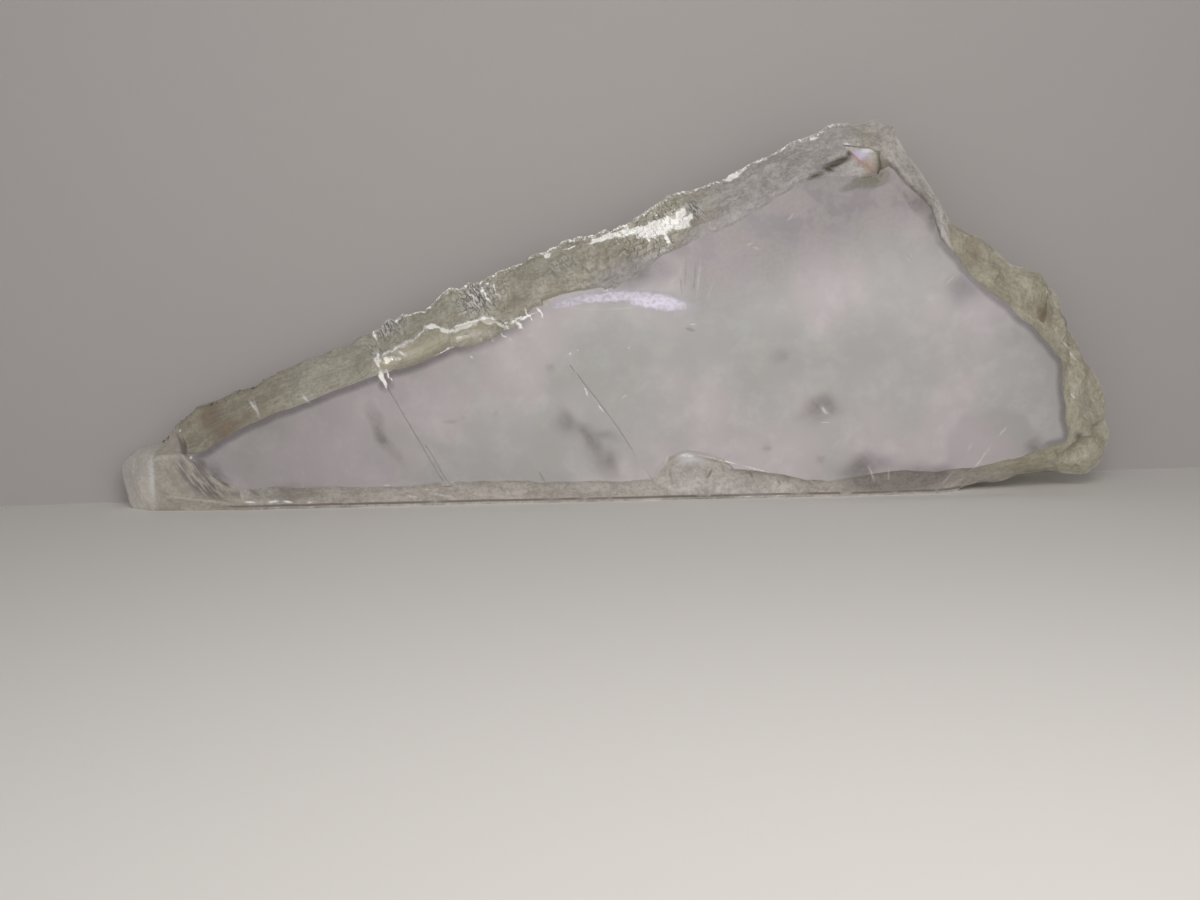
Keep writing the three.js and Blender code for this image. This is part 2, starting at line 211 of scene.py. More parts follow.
def fill_front(body, boundary, scratched, rim):
    """Fills the front cleavage face with even facets, small ones along its rim and scratches."""
    corners = list({vert: None for edge in boundary for vert in edge.verts})
    number = {vert: index for index, vert in enumerate(corners)}
    tree = kdtree.KDTree(len(corners))
    for vert, index in number.items():
        tree.insert(vert.co, index)
    tree.balance()
    depth = corners[0].co.y
    top, end = math.ceil(slab_high.z / MM), math.ceil(slab_high.x / MM)
    places = [Vector((vert.co.x, vert.co.z)) / MM for vert in corners]
    for step in (SCRATCH_STEP, RIM_STEP, FACE_STEP):
        for row in range(round(top / (ROW_RISE * step))):
            for column in range(round(-end / step), round(end / step)):
                place = Vector((column + 0.5 * (row % 2), ROW_RISE * row)) * step
                cell = cell_at(*place)
                wanted = SCRATCH_STEP if cell in scratched else RIM_STEP if cell in rim else FACE_STEP
                if step != wanted:
                    continue
                if tree.find((place.x * MM, depth, place.y * MM))[2] > CLEARANCE * step * MM:
                    places.append(place)
    edges = [(number[edge.verts[0]], number[edge.verts[1]]) for edge in boundary]
    places, _, faces, sources, *_ = geometry.delaunay_2d_cdt(places, edges, [], 2, 1e-6)
    verts = {}
    flat = body.faces.layers.int["flat"]
    for face in faces:
        loop = []
        for index in face:
            if index not in verts:
                known = [source for source in sources[index] if source < len(corners)]
                x, z = places[index]
                new = (x * MM, depth, z * MM)
                verts[index] = corners[known[0]] if known else body.verts.new(new)
            loop.append(verts[index])
        body.faces.new(loop)[flat] = 1


def drop_folds(body):
    """Removes facets that cutting has left back to back on the same three corners."""
    alike = {}
    for face in body.faces:
        alike.setdefault(frozenset(face.verts), []).append(face)
    folds = [face for faces in alike.values() if len(faces) == 2 for face in faces]
    bmesh.ops.delete(body, geom=folds, context="FACES")


def longest_side(edge, flat, crisp):
    """How long a side of the facets may be: short where the broken edge is splintery."""
    middle = (edge.verts[0].co + edge.verts[1].co) / 2
    if all(face[flat] for face in edge.link_faces):
        return math.inf
    if middle.y > BACK_DEPTH * MM or middle.z < 0.1 * MM:
        return COARSE_EDGE
    return CRISP_EDGE if cell_at(middle.x / MM, middle.z / MM) in crisp else FINE_EDGE


def slab_body():
    """A copy of the slab's solid with its shared corners joined and its facets cut finer."""
    body = bmesh.new()
    body.from_mesh(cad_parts["selenite_slab"].data)
    bmesh.ops.remove_doubles(body, verts=body.verts, dist=WELD)
    body.normal_update()
    flat = body.faces.layers.int.new("flat")
    for face in body.faces:
        face[flat] = int(is_flat(face))
    scratched = set()
    for _, start, end, width in (*GLARES, *SCRATCHES_AND_CREST_GLARES, *NICKS):
        scratched.update(cells_along(start, end, max(round(width), 1)))
    crisp = scratched | cluster_cells()
    rim = set()
    for edge in body.edges:
        (x, y, z), (far_x, _, far_z) = edge.verts[0].co / MM, edge.verts[1].co / MM
        sides = [face.normal.y < 0 for face in edge.link_faces]
        if y < 0 and len({face[flat] for face in edge.link_faces}) == 2:
            rim.update(cells_along((x, z), (far_x, far_z), RIM_CELLS))
        if x < TOOTHED[0] and z > TOOTHED[1] and any(sides) and not all(sides):
            crisp.update(cells_along((x, z), (far_x, far_z), TOOTHED_CELLS))
    front = [face for face in body.faces if face[flat] and face.normal.y < 0]
    bmesh.ops.delete(body, geom=front, context="FACES")
    for _ in range(CUT_ROUNDS):
        long_edges = []
        for edge in body.edges:
            size = edge.calc_length() / EDGE_SPARE
            if size > CRISP_EDGE and size > longest_side(edge, flat, crisp):
                long_edges.append(edge)
        if not long_edges:
            break
        bmesh.ops.subdivide_edges(body, edges=long_edges, cuts=1, use_grid_fill=True)
        bmesh.ops.triangulate(body, faces=[face for face in body.faces if len(face.verts) > 3])
        drop_folds(body)
    fill_front(body, [edge for edge in body.edges if len(edge.link_faces) == 1], scratched, rim)
    return body


def saw(turns):
    """A saw-toothed wave from 0 to 1."""
    return turns - math.floor(turns)


def splintered(x, z):
    """How splintery the broken edge is at a place: 1 within the clusters of splinters."""
    return max(
        strength * ramp(math.dist((x, z), middle), reach, 0.6 * reach)
        for strength, middle, reach in CLUSTERS
    )


def splinter_move(point, normal):
    """Moves a point back onto the nearest splinter face below it."""
    x, y, z = point / MM
    across = x * math.sin(FIBRE_SLOPE) + z * math.cos(FIBRE_SLOPE)
    lean = noise.cell_vector((across / 1.6, y / 2.5, 7)) - Vector((0.5, 0.5, 0.5))
    in_step = ramp(math.dist((x, z), BLAZE[0]), BLAZE[1] + 2, BLAZE[1])
    face = (SPLINTER_FACE + 2 * SPLINTER_TURN * (1 - 0.85 * in_step) * lean).normalized()
    height = point.dot(face) / SPLINTER_STEP
    return -face * (SPLINTER_STEP * saw(height)) * max(normal.dot(face), 0)


def carving(point, crest):
    """How deep the broken edge is carved at a point this far from its crest, in mm."""
    x, y, z = point / MM
    across = x * math.sin(FIBRE_SLOPE) + z * math.cos(FIBRE_SLOPE)
    along = x * math.cos(FIBRE_SLOPE) - z * math.sin(FIBRE_SLOPE)
    waver = 0.5 * noise.noise((across * 0.8, along * 0.12, y * 0.2))
    teeth = 0.6 * saw(across / 1.7 + waver) + 0.4 * saw(across / 0.95 - waver)
    patch = 0.5 + 0.5 * noise.noise((across / 5, 3.1, y / 9))
    fibrous = splintered(x, z) * (0.35 + 0.9 * patch)
    earthy = ramp(x, 54, 60)
    lumps = noise.fractal((x / 2.2, y / 2.2, z / 2.2), 0.8, 2.1, 4)
    grain = noise.noise((x / 0.7, y / 0.7, z / 0.7)) * (0.5 + ramp(x, -48, -40))
    nibbled = ramp(crest, 1.3, 0.2) * ramp(x, TOOTHED[0] + 4, TOOTHED[0] - 2)
    nibbled *= ramp(z, TOOTHED[1], TOOTHED[1] + 3)
    nibbles = 0.7 * saw(across / 1.25 + 2 * waver) + 0.3 * saw(across / 2.9 - waver)
    return (
        FIBRE_TOOTH * fibrous * teeth
        + NIBBLE * nibbled * nibbles
        + EARTH_LUMP * (0.35 + earthy) * (0.5 + 0.5 * lumps)
        + GRAIN * (0.5 + 0.5 * grain)
    )


def mean_depth(vert):
    """The mean depth, along Y, of the corners next to one."""
    return sum(edge.other_vert(vert).co.y for edge in vert.link_edges) / len(vert.link_edges)


def press_scars(body):
    """Presses the glassy scars nearly flat, each to its own share of its depth."""
    for vert in body.verts:
        x, y, z = vert.co / MM
        if in_oval(x, z, SCALLOP, SCAR_MARGIN) and y < 0:
            kept = SCALLOP_KEPT
        elif y < -5 and z > 4.6 and in_oval(x, z, CHIP, SCAR_MARGIN):
            kept = CHIP_KEPT + (1 - CHIP_KEPT) * chipped(x, z)
        elif -FACE_DEPTH < y < CRACK_FLOOR and x < 20 and is_scar(x, y, z):
            kept = CRACK_KEPT if z > CRACK_FOOT + 1 else CRACK_FOOT_KEPT
        else:
            continue
        vert.co.y = (-FACE_DEPTH + (y + FACE_DEPTH) * kept) * MM


def wear_scars(body):
    """Rubs down the scars with worn rims, by evening out the depths of their corners."""
    flat = body.faces.layers.int["flat"]
    for oval, rubs in WORN:
        near = [
            v
            for v in body.verts
            if v.co.y < 0
            and in_oval(v.co.x / MM, v.co.z / MM, oval)
            and not any(f[flat] for f in v.link_faces)
        ]
        for _ in range(rubs):
            depths = [mean_depth(vert) for vert in near]
            for vert, depth in zip(near, depths):
                vert.co.y += RUB * (depth - vert.co.y)


def carve(body):
    """Sinks the broken edge by its carving, which fades out towards flat faces, scars and base."""
    body.normal_update()
    flat = body.faces.layers.int["flat"]
    crest = body.verts.layers.float["crest"]
    still = [
        v
        for v in body.verts
        if v.co.z < 0.02 * MM or any(f[flat] for f in v.link_faces) or is_scar(*v.co / MM)
    ]
    tree = kdtree.KDTree(len(still))
    for index, vert in enumerate(still):
        tree.insert(vert.co, index)
    tree.balance()
    moves = []
    for vert in body.verts:
        share = min(tree.find(vert.co)[2] / CALM_WIDTH, 1)
        share = share * share * (3 - 2 * share)
        move = -carving(vert.co, vert[crest]) * vert.normal
        x, y, z = vert.co / MM
        move += splinter_move(vert.co + move, vert.normal) * splintered(x, z)
        moves.append(move * share)
    for vert, move in zip(body.verts, moves):
        vert.co += move
    press_scars(body)
    wear_scars(body)


# The marks, in mm.  An oval is its strength, middle (x, z), reach (along, across), turn in
# degrees and, where it doesn't fade all the way from its middle, the share of it that does.
# A line is its strength, both ends (x, z) and its width.
SOFT_DARK_MARKS = (  # soft dark marks on the front face, many of them painted shade: the shadows of the cracks and of the right rim on the wall behind, seen through the crystal
    (0.80, (-42.8, 13.6), (3.3, 12.0), 26),
    (0.75, (-4.9, 11.6), (9.5, 2.6), -49),
    (0.62, (-8.6, 15.5), (3.0, 5.4), 25),
    (0.62, (-3.2, 12.4), (5.4, 1.8), -8),
    (0.66, (-0.9, 8.0), (3.0, 3.6), 0),
    (0.55, (-11.8, 25.2), (1.5, 1.2), 0),
    (0.49, (-30.0, 16.4), (3.4, 0.7), 8),
    (0.55, (-21.9, 17.7), (0.9, 0.8), 0),
    (0.88, (37.4, 17.0), (6.2, 4.4), 16),
    (0.20, (69.5, 7.5), (9.6, 9.8), 0, 0.2),
    (0.55, (27.5, 10.0), (2.0, 1.3), 0),
    (0.55, (37.0, 8.0), (1.8, 1.2), 0),
    (0.72, (45.5, 5.6), (8.0, 3.6), 4),
    (0.72, (57.0, 4.6), (13.0, 3.2), 2),
    (0.67, (77.5, 8.5), (3.6, 2.6), 12),
    (1.50, (56.2, 53.0), (3.4, 10.5), 41),
    (0.49, (63.5, 38.0), (4.6, 4.6), 30),
    (0.72, (4.6, 42.4), (12.0, 3.8), 14),
    (0.43, (15.6, 41.0), (2.2, 8.5), -8),
    (0.55, (12.0, 46.5), (5.0, 3.0), 20),
    (0.49, (33.0, 52.5), (9.0, 3.0), 17),
    (0.43, (30.0, 27.0), (3.4, 2.0), 20),
    (0.73, (-73.5, 7.0), (2.6, 6.0), 32),
    (0.55, (-68.0, 8.0), (6.0, 3.5), 20),
)
STAINS = (  # iron stains on the broken edge
    (1.40, (-76.0, 17.4), (3.6, 3.6), 30),
    (1.25, (-72.0, 15.4), (5.0, 2.4), 20),
    (0.80, (-68.0, 17.6), (1.8, 1.2), 0),
    (0.60, (-79.0, 13.4), (2.4, 1.6), 30),
    (0.70, (66.7, 44.4), (2.4, 3.0), 0),
    (0.85, (79.5, 33.0), (2.0, 3.4), 20),
)
DIRT = (  # dark olive dirt in the hollows below the apex and by the toe
    (1.00, (40.8, 61.2), (4.2, 1.1), 16),
    (0.90, (38.8, 60.2), (1.8, 0.9), -20),
    (0.80, (43.0, 62.4), (1.2, 0.9), 50),
    (0.80, (36.6, 59.0), (2.4, 0.7), 25),
    (1.00, (46.3, 57.6), (5.2, 1.6), 3),
    (0.80, (48.8, 58.4), (1.8, 1.6), 0),
    (0.70, (43.0, 57.0), (3.4, 1.1), 20),
    (0.70, (-80.4, 12.3), (3.4, 0.5), -45),
    (0.35, (-70.5, 3.4), (2.0, 1.0), 0),
    (0.34, (-60.8, 3.2), (9.0, 2.6), 2),
    (0.55, (85.5, 10.2), (1.8, 1.5), 0),
    (0.50, (84.0, 31.0), (0.8, 3.0), 20),
)
GLARES = (  # painted highlights on the bright crests of the flake scars and on single splinters
    (0.55, (-41.0, 29.2), (-35.6, 31.6), 1.2),
    (0.60, (-37.8, 30.4), (-33.8, 33.8), 1.0),
    (0.95, (-35.6, 33.4), (-31.0, 33.0), 0.94),
    (1.00, (-33.0, 33.4), (-29.6, 31.8), 1.01),
    (1.00, (-31.6, 31.8), (-23.2, 34.8), 1.56),
    (0.95, (-25.6, 34.6), (-20.8, 33.8), 2.03),
    (0.80, (-23.0, 34.4), (-18.8, 32.6), 1.25),
    (0.75, (-20.0, 33.4), (-13.0, 35.9), 0.78),
    (0.70, (-18.9, 34.8), (-16.0, 32.2), 0.78),
    (0.70, (-46.2, 34.0), (-43.6, 29.6), 0.6),
    (0.60, (-44.6, 35.0), (-42.0, 30.6), 0.5),
    (0.60, (-27.6, 40.6), (-24.6, 36.0), 0.6),
    (0.70, (-25.4, 41.4), (-22.2, 36.6), 0.7),
    (0.60, (-23.0, 41.4), (-20.6, 37.6), 0.6),
    (1.00, (-6.0, 47.3), (4.0, 50.6), 1.25),
    (1.00, (-0.5, 48.7), (8.0, 50.9), 1.72),
    (1.00, (4.0, 49.5), (14.4, 51.9), 2.34),
    (1.00, (20.4, 58.2), (25.6, 61.2), 1.17),
    (0.90, (26.6, 61.8), (29.0, 62.6), 0.7),
    (0.90, (36.6, 65.6), (38.6, 66.2), 0.78),
    (0.90, (-13.2, 45.4), (-11.0, 46.2), 0.86),
    (0.80, (-9.6, 46.6), (-6.0, 47.6), 0.62),
    (1.00, (-44.3, 29.2), (-43.0, 25.4), 1.2),
    (0.60, (-44.2, 27.6), (-38.6, 30.2), 1.2),
    (0.80, (-43.4, 27.8), (-40.8, 27.2), 1.3),
    (1.00, (-43.5, 26.6), (-41.4, 21.6), 1.0),
    (0.80, (-42.6, 26.6), (-40.2, 22.8), 0.5),
    (1.00, (3.0, 49.2), (2.4, 53.0), 0.9),
    (1.00, (6.2, 50.2), (6.9, 47.2), 0.9),
    (1.00, (9.2, 50.4), (10.4, 46.8), 1.1),
    (1.00, (11.0, 49.6), (13.8, 54.8), 2.2),
    (1.00, (12.4, 49.4), (15.0, 53.4), 1.6),
    (1.00, (9.4, 51.2), (14.8, 50.4), 2.4),
    (1.00, (-26.6, 41.2), (-25.9, 41.6), 0.9),
    (1.00, (-25.2, 41.0), (-24.5, 41.4), 0.9),
    (0.90, (-23.7, 40.8), (-23.0, 41.2), 0.8),
    (0.80, (-22.4, 40.4), (-21.8, 40.8), 0.8),
    (0.80, (-16.5, 36.8), (-14.6, 33.4), 0.5),
    (0.80, (-14.0, 36.6), (-12.6, 34.0), 0.5),
    (0.60, (-21.0, 32.4), (-18.8, 30.2), 0.4),
    (0.60, (-23.4, 32.4), (-21.6, 30.0), 0.4),
)
SCRATCHES_AND_CREST_GLARES = (  # fine pale scratches on the front face, and painted highlights on the calmer crests
    (0.80, (-69.0, 20.8), (-65.8, 18.0), 0.7),
    (0.70, (-68.0, 21.0), (-65.0, 16.8), 0.7),
    (0.80, (-58.4, 21.8), (-55.6, 19.8), 0.7),
    (0.85, (12.0, 9.5), (24.4, 6.3), 0.7),
    (0.70, (21.0, 7.2), (31.0, 4.3), 0.62),
    (0.90, (10.8, 8.9), (15.2, 8.3), 1.33),
    (0.70, (9.6, 9.2), (8.6, 6.6), 0.62),
    (0.70, (-85.9, 13.6), (-86.9, 0.8), 2.03),
    (0.60, (-69.6, 4.4), (-69.7, 1.6), 0.7),
    (0.95, (-70.0, 1.7), (-66.8, 1.5), 0.7),
    (1.00, (-65.6, 1.4), (-62.6, 1.7), 0.78),
    (1.00, (-62.8, 1.7), (-60.0, 1.2), 0.78),
    (0.90, (-57.8, 1.3), (-56.8, 1.3), 0.62),
    (0.80, (-39.4, 2.2), (-37.0, 1.8), 0.62),
    (0.70, (-36.0, 2.8), (-30.6, 1.6), 0.7),
    (0.90, (-82.6, 14.4), (-81.8, 15.0), 0.7),
    (0.80, (-78.6, 10.0), (-78.0, 10.8), 0.7),
    (0.70, (-43.6, 4.3), (-41.6, 4.6), 0.5),
    (0.80, (-36.4, 3.3), (-34.4, 3.4), 0.5),
    (0.60, (-32.4, 1.8), (-30.6, 1.9), 0.4),
    (0.55, (-86.0, 3.4), (-70.0, 1.0), 0.7),
    (0.80, (82.4, 28.7), (86.8, 23.7), 0.6),
    (0.95, (84.0, 18.6), (85.4, 17.2), 0.6),
    (0.85, (84.2, 17.2), (85.2, 18.6), 0.4),
    (0.80, (-5.9, 22.6), (-4.9, 19.4), 0.5),
    (0.70, (-3.6, 19.0), (-2.0, 16.6), 0.5),
    (0.55, (-8.1, 26.2), (-6.4, 22.8), 0.3),
    (0.55, (0.6, 19.2), (2.6, 20.6), 0.5),
    (0.50, (1.6, 14.4), (2.9, 15.0), 0.4),
    (0.60, (36.4, 14.4), (39.8, 14.2), 0.3),
    (0.70, (64.2, 2.8), (69.8, 10.6), 0.45),
    (0.65, (69.6, 10.4), (72.2, 13.2), 0.4),
    (0.55, (60.0, 1.0), (62.6, 5.2), 0.4),
    (0.60, (64.4, 8.2), (65.6, 10.0), 0.4),
    (0.60, (46.0, 6.8), (47.7, 2.6), 0.45),
    (0.50, (50.0, 6.3), (50.1, 2.5), 0.35),
    (0.55, (59.8, 38.4), (62.2, 41.0), 0.5),
    (0.50, (56.4, 35.6), (58.6, 37.6), 0.4),
    (0.45, (49.0, 40.0), (51.4, 37.2), 0.4),
    (0.70, (13.2, 32.9), (15.4, 32.5), 0.4),
    (0.45, (57.9, 7.8), (58.8, 12.0), 0.5),
    (0.40, (58.8, 12.0), (61.4, 15.0), 0.5),
    (0.35, (61.4, 15.0), (66.0, 16.8), 0.5),
    (0.60, (-26.6, 28.2), (-25.6, 27.2), 0.8),
    (0.70, (-24.9, 31.1), (-24.2, 30.4), 0.6),
    (0.85, (-8.4, 28.1), (-7.9, 27.7), 0.6),
    (0.80, (-7.0, 28.7), (-6.5, 28.3), 0.5),
    (0.80, (2.3, 28.9), (2.8, 28.5), 0.5),
    (0.60, (-19.6, 31.6), (-18.2, 29.8), 0.5),
    (0.60, (-16.2, 31.0), (-14.4, 31.6), 0.4),
    (0.45, (16.0, 45.4), (14.8, 36.0), 0.5),
    (0.55, (24.0, 46.6), (25.4, 47.2), 0.5),
    (0.50, (25.0, 46.4), (26.6, 46.0), 0.5),
    (0.50, (21.6, 52.0), (23.0, 50.4), 0.4),
    (0.50, (31.4, 50.8), (32.8, 52.2), 0.4),
    (0.45, (52.2, 44.4), (54.4, 42.6), 0.5),
    (0.45, (53.2, 45.0), (54.6, 43.4), 0.4),
    (0.40, (12.6, 44.8), (11.6, 38.6), 0.5),
    (0.40, (18.4, 41.0), (16.6, 36.4), 0.4),
    (0.60, (37.4, 17.6), (38.8, 15.4), 1.1),
    (0.45, (38.0, 16.4), (39.4, 15.6), 0.9),
)
NICKS = (  # dark fine lines
    (0.85, (-83.6, 14.6), (-78.2, 9.8), 0.9),
    (0.70, (17.8, 6.4), (16.6, 3.6), 0.6),
    (0.60, (24.4, 5.3), (25.3, 3.8), 0.5),
    (0.60, (-14.6, 6.6), (-13.2, 4.0), 0.5),
    (0.50, (29.5, 4.0), (30.6, 2.2), 0.5),
    (0.40, (9.4, 6.8), (10.4, 3.0), 0.6),
    (0.45, (-68.5, 4.6), (-66.0, 2.6), 0.8),
    (0.70, (36.8, 60.4), (43.4, 61.6), 0.8),
    (0.70, (-76.6, 9.8), (-70.6, 3.6), 1.1),
    (0.60, (-74.8, 9.4), (-71.0, 5.2), 0.9),
    (0.60, (15.2, 46.6), (14.4, 37.0), 0.8),
    (0.48, (17.2, 44.0), (15.4, 35.0), 0.6),
    (0.45, (13.4, 46.4), (12.8, 38.2), 0.6),
    (0.50, (11.8, 43.0), (12.6, 36.8), 0.5),
    (0.45, (8.0, 43.6), (9.4, 41.0), 0.9),
    (0.45, (3.0, 41.6), (6.0, 42.6), 0.9),
    (0.45, (-2.4, 40.6), (0.8, 42.0), 0.8),
    (0.50, (12.6, 32.2), (15.0, 31.4), 0.8),
)
SPIKES = (  # tight bundles of splinters, seen side on
    (1.00, (-42.3, 33.6), (5.8, 3.0), 22),
    (1.00, (-25.4, 38.4), (5.6, 4.4), 22),
    (0.90, (15.2, 53.4), (2.2, 3.4), 33),
    (0.50, (-44.0, 28.6), (2.4, 3.4), 57),
    (0.40, (-10.0, 43.6), (6.0, 2.4), 22),
)
LENS = (  # the painted flash of light off the long flake scar below the upper edge
    (0.75, (-14.4, 35.6), (1.0, 39.4), 2.8),
    (0.90, (-10.4, 37.2), (9.4, 38.8), 2.8),
    (1.00, (-1.4, 38.5), (16.6, 35.5), 4.6),
)
CREAM = (  # clear warm crystal below the crests
    (0.90, (-34.5, 29.8), (8.5, 2.6), 21),
    (0.80, (-42.0, 26.6), (3.0, 2.4), 21),
    (0.60, (-24.0, 33.4), (4.5, 1.4), 17),
)


LINE_FADE = 0.6  # the outer share of a line's width that fades


def strokes(rows):
    """Thin lines as ovals, which taper at both ends."""
    lines = []
    for strength, start, end, width in rows:
        run = Vector(end) - Vector(start)
        middle = (Vector(end) + Vector(start)) / 2
        turn = math.degrees(math.atan2(run.y, run.x))
        lines.append((strength, middle, (run.length / 2, width / 2), turn, LINE_FADE))
    return lines


def strongest(marks, x, z):
    """The strongest of many ovals at each place, which fade out towards their rims."""
    best = numpy.zeros(len(x))
    for strength, middle, reach, turn, *soft in marks:
        cosine, sine = math.cos(math.radians(turn)), math.sin(math.radians(turn))
        across, up = x - middle[0], z - middle[1]
        along = (across * cosine + up * sine) / reach[0]
        aside = (up * cosine - across * sine) / reach[1]
        inside = numpy.clip((1 - numpy.hypot(along, aside)) / (soft[0] if soft else 1), 0, 1)
        best = numpy.maximum(best, strength * inside * inside * (3 - 2 * inside))
    return best


def paint(mesh):
    """Stores the marks of the slab on its corners, one number for each kind of mark, painted shade
    and painted highlights among them.

    The drifts bend the outlines of the soft marks, and the jags break up those of the bright ones.
    """
    places = numpy.empty(3 * len(mesh.vertices), dtype=numpy.float32)
    mesh.vertices.foreach_get("co", places)
    x, y, z = places.reshape(-1, 3).T / MM
    drift_x = 0.6 * numpy.sin(0.41 * x + 1.9 * numpy.sin(0.23 * z)) + 0.4 * numpy.sin(0.9 * z + x)
    drift_z = 0.5 * numpy.sin(0.47 * z + 1.7 * numpy.sin(0.29 * x)) + 0.3 * numpy.sin(1.1 * x - z)
    jag_x = 0.14 * numpy.sin(3.1 * z + 2 * numpy.sin(1.3 * x)) + 0.10 * numpy.sin(6.1 * x + z)
    jag_z = 0.14 * numpy.sin(2.7 * x + 2 * numpy.sin(1.7 * z)) + 0.10 * numpy.sin(5.3 * z - x)
    glare = 1.5 * strongest(strokes(GLARES), x + jag_x, z + jag_z)
    kinds = {
        "stain": strongest(STAINS, x, z),
        "dirt": 1.5 * strongest(DIRT, x + 0.4 * drift_x, z + 0.4 * drift_z),
        "cream": strongest(CREAM, x, z),
        "spikes": strongest(SPIKES, x, z),
        "glare": numpy.maximum(glare, strongest(strokes(SCRATCHES_AND_CREST_GLARES), x, z)),
        "nick": strongest(strokes(NICKS), x, z),
        "lens": strongest(strokes(LENS), x, z + 0.8 * jag_z),
        "shade": strongest(SOFT_DARK_MARKS, x + drift_x, z + drift_z),
    }
    for name, values in kinds.items():
        values[y > BACK_DEPTH] = 0
        layer = mesh.attributes.new(name, "FLOAT", "POINT")
        layer.data.foreach_set("value", values.astype(numpy.float32))


def distances(body, name, targets):
    """Stores each corner's distance to the nearest of some corners, in mm."""
    tree = kdtree.KDTree(len(targets))
    for index, vert in enumerate(targets):
        tree.insert(vert.co, index)
    tree.balance()
    layer = body.verts.layers.float.new(name)
    for vert in body.verts:
        vert[layer] = tree.find(vert.co)[2] / MM


def crest_corners(body):
    """The corners along the slab's outline, where its broken edge turns from front to back."""
    crests = []
    for vert in body.verts:
        slants = [face.normal.y for face in vert.link_faces if face.calc_area() > SLIVER]
        if slants and min(slants) < -SLANT and max(slants) > SLANT and vert.co.z > 0.5 * MM:
            crests.append(vert)
    return crests


def finish_facets(body):
    """Gives each facet its material, and smooths the glassy scars and the worn stretches."""
    flat = body.faces.layers.int["flat"]
    for face in body.faces:
        x, y, z = face.calc_center_median() / MM
        scar = is_scar(x, y, z)
        face.smooth = not face[flat] and (x < -48 or y > 2 or scar)
        if in_oval(x, z, FACET) or not (face[flat] or scar):
            face.material_index = BROKEN_EDGE
        else:
            face.material_index = CLEAR_FACE if y < 0 else BACK_FACE
    for edge in body.edges:
        edge.smooth = len({face.material_index for face in edge.link_faces}) == 1


def slab_mesh():
    """The finished mesh of the slab, carved, with its materials told apart and marks stored."""
    body = slab_body()
    flat = body.faces.layers.int["flat"]
    border = [v for v in body.verts if v.co.y < 0 and len({f[flat] for f in v.link_faces}) == 2]
    distances(body, "inner", border)
    distances(body, "crest", crest_corners(body))
    carve(body)
    finish_facets(body)
    mesh = bpy.data.meshes.new("selenite")
    body.to_mesh(mesh)
    body.free()
    paint(mesh)
    return mesh


class Field:
    """One output of a material's node.  Sums and products of fields add Math nodes."""

    def __init__(self, tree, output=None):
        self.tree = tree
        self.output = output

    def node(self, kind, settings=None, inputs=None, output=0):
        """Adds a node of any kind: its settings first, then what its sockets take."""
        made = self.tree.nodes.new(kind)
        for name, value in (settings or {}).items():
            setattr(made, name, value)
        for name, value in (inputs or {}).items():
            if isinstance(value, Field):
                self.tree.links.new(value.output, made.inputs[name])
            else:
                made.inputs[name].default_value = value
        return Field(self.tree, made.outputs[output]) if made.outputs else made

    def math(self, operation, *values):
        return self.node("ShaderNodeMath", {"operation": operation}, dict(enumerate(values)))

    def __add__(self, other):
        return self.math("ADD", self, other)

    def __sub__(self, other):
        return self.math("SUBTRACT", self, other)

    def __mul__(self, other):
        return self.math("MULTIPLY", self, other)

    def __radd__(self, other):
        return self.math("ADD", other, self)

    def __rsub__(self, other):
        return self.math("SUBTRACT", other, self)

    def __rmul__(self, other):
        return self.math("MULTIPLY", other, self)

    def larger(self, other):
        return self.math("MAXIMUM", self, other)

    def rises(self, low, high):
        """0 at low, 1 at high and smooth between them: low may be the greater of the two."""
        inputs = {"Value": self, "From Min": low, "From Max": high}
        settings = {"interpolation_type": "SMOOTHSTEP", "clamp": False}
        return self.node("ShaderNodeMapRange", settings, inputs)

    def blend(self, first, second):
        """The first colour where this field is 0 and the second where it is 1."""
        inputs = {0: self, 6: first, 7: second}
        return self.node("ShaderNodeMix", {"data_type": "RGBA"}, inputs, output=2)

    def vector(self, operation, *values, output=0):
        settings = {"operation": operation}
        return self.node("ShaderNodeVectorMath", settings, dict(enumerate(values)), output)

    def noise(self, scales, detail=3, roughness=0.5):
        """Noise at this point, its three scales given per millimetre along X, Y and Z."""
        place = self.vector("MULTIPLY", self, scales)
        inputs = {"Vector": place, "Scale": 1, "Detail": detail, "Roughness": roughness}
        return self.node("ShaderNodeTexNoise", {}, inputs)

    def attribute(self, name):
        """A number stored on the mesh's corners."""
        return self.node("ShaderNodeAttribute", {"attribute_name": name}, output="Fac")

    def mark(self, middle, reach, turn=0.0, soft=1.0):
        """1 in an oval on the slab and 0 outside: its middle and reach are (x, z) in mm."""
        inputs = {
            "Vector": self,
            "Location": (middle[0], 0, middle[1]),
            "Rotation": (0, -math.radians(turn), 0),
            "Scale": (reach[0], 1e6, reach[1]),
        }
        local = self.node("ShaderNodeMapping", {"vector_type": "TEXTURE"}, inputs)
        return local.vector("LENGTH", local, output=1).rises(1, 1 - soft)


def new_material(name):
    """An empty material, the point on its surface in millimetres, and that point's x, y, z."""
    material = bpy.data.materials.new(name)
    material.use_nodes = True
    material.node_tree.nodes.clear()
    start = Field(material.node_tree)
    position = start.node("ShaderNodeNewGeometry", output="Position")
    point = start.vector("SCALE", position)
    point.output.node.inputs["Scale"].default_value = 1 / MM
    parts = [start.node("ShaderNodeSeparateXYZ", {}, {0: point}, output=i) for i in range(3)]
    return material, point, parts


CRYSTAL_IOR = 1.52
CRYSTAL_TINT = (0.70, 0.66, 0.45, 1)  # what the crystal lets through, faintly olive
CRYSTAL_DENSITY = 5.0
BUMP_HEIGHT = 0.25 * MM


def relief(point, height, strength):
    """Low bumps on the surface."""
    inputs = {"Strength": strength, "Distance": BUMP_HEIGHT, "Height": height}
    return point.node("ShaderNodeBump", {}, inputs)


def crystal(point, colour, roughness, bump):
    """Polished clear crystal."""
    inputs = {
        "Base Color": colour,
        "Roughness": roughness,
        "IOR": CRYSTAL_IOR,
        "Transmission Weight": 1,
        "Normal": bump,
    }
    return point.node("ShaderNodeBsdfPrincipled", {}, inputs)


